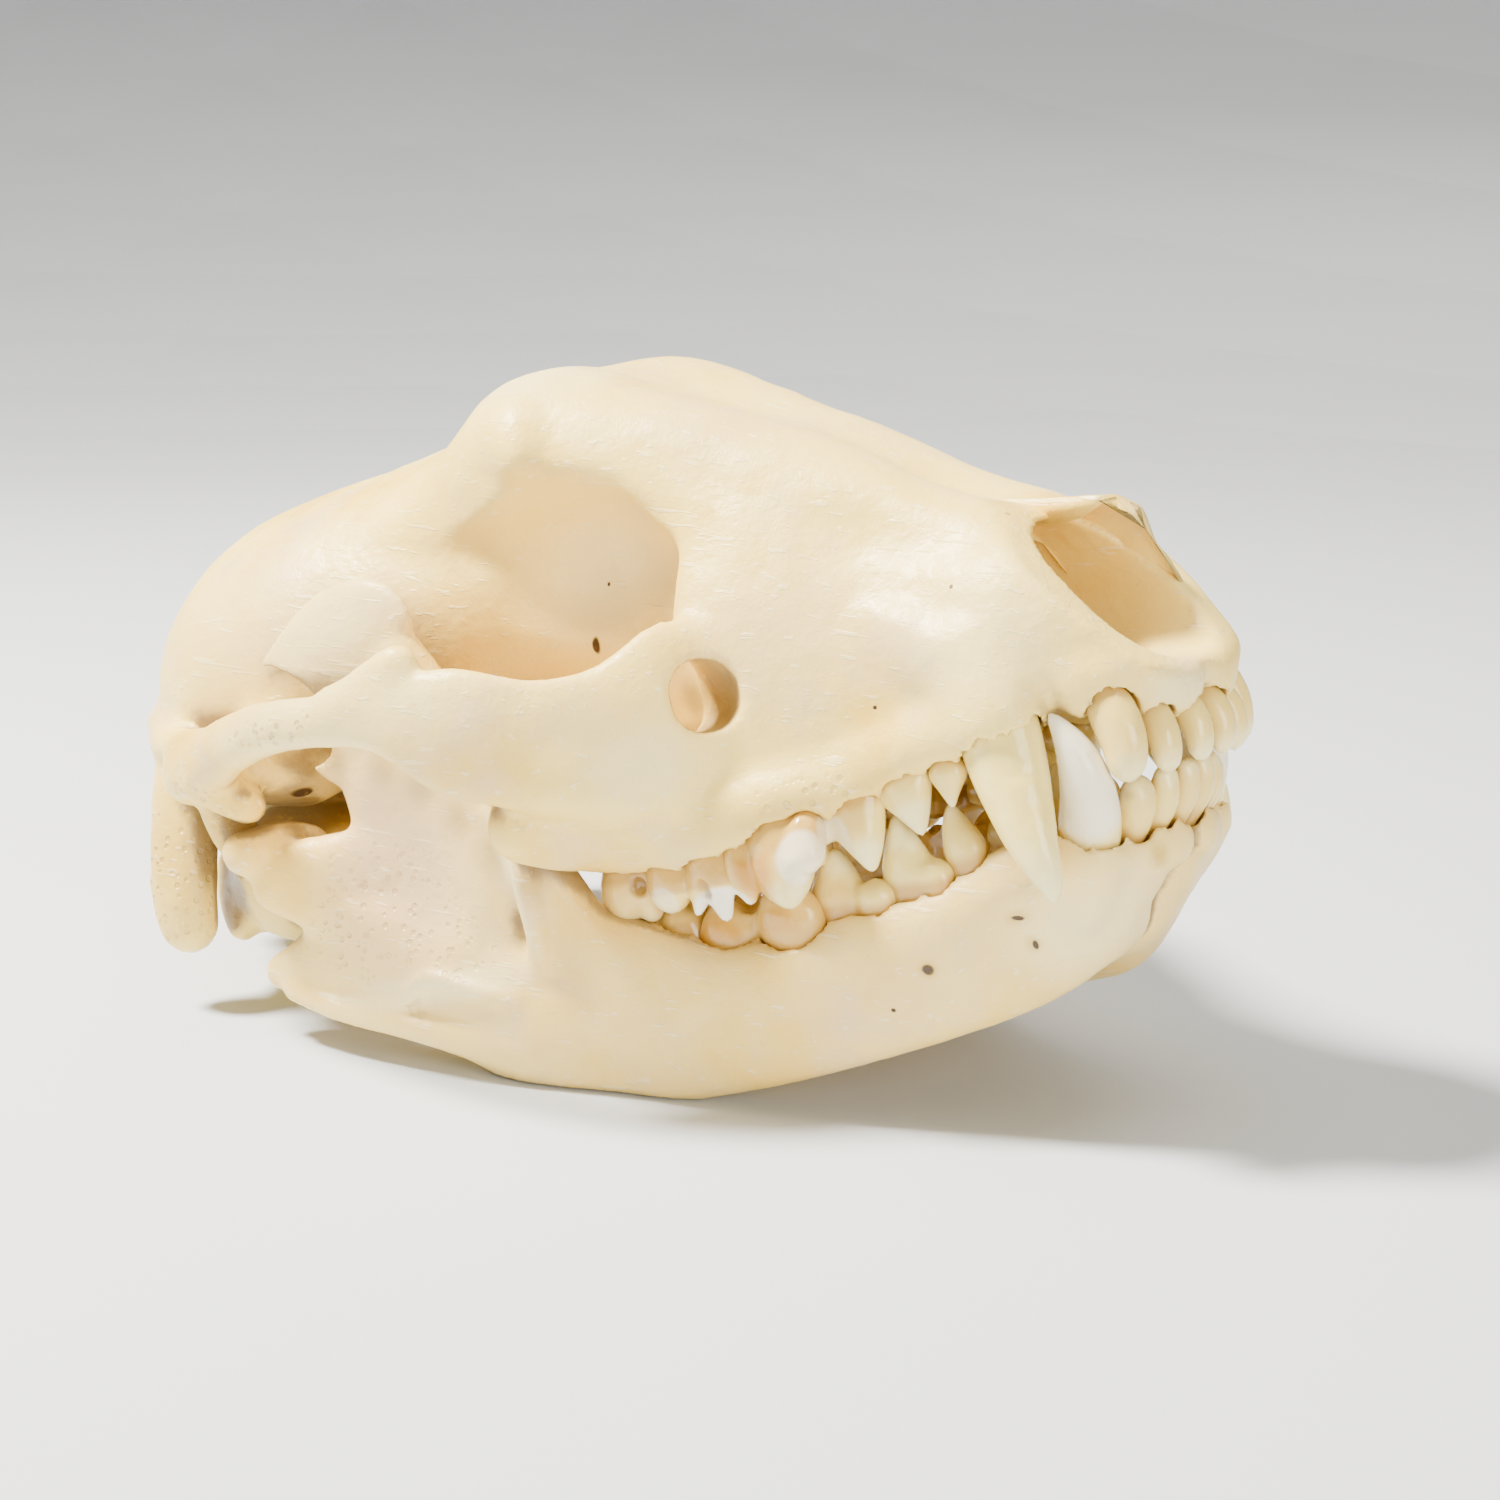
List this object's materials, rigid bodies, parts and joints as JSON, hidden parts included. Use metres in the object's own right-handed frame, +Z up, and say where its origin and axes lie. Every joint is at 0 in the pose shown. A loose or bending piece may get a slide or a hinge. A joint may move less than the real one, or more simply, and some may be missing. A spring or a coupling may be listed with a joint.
{
  "type": "raccoon skull",
  "caption": "Cleaned raccoon skull with its lower jaw closed, resting on the rounded lower edges of the jaw.",
  "frame": {"origin": "middle of the bounding box at floor level", "axes": "+X towards the incisors, +Y to the skull's left side, +Z up from the floor it rests on"},
  "size_m": [0.1104, 0.0726, 0.059],
  "materials": {
    "bone": "dry cleaned bone, ivory white with warm stains, satin",
    "jaw_bone": "dry cleaned bone, whiter than the cranium, satin",
    "tooth_enamel": "cream enamel, glossy, amber near the gum"
  },
  "bodies": {
    "root": {"occiput": "bone", "braincase": "bone", "snout": "bone", "zygomatic_arch_left": "bone", "zygomatic_arch_right": "bone", "mandible_left": "jaw_bone", "mandible_right": "jaw_bone"}
  },
  "joints": []
}
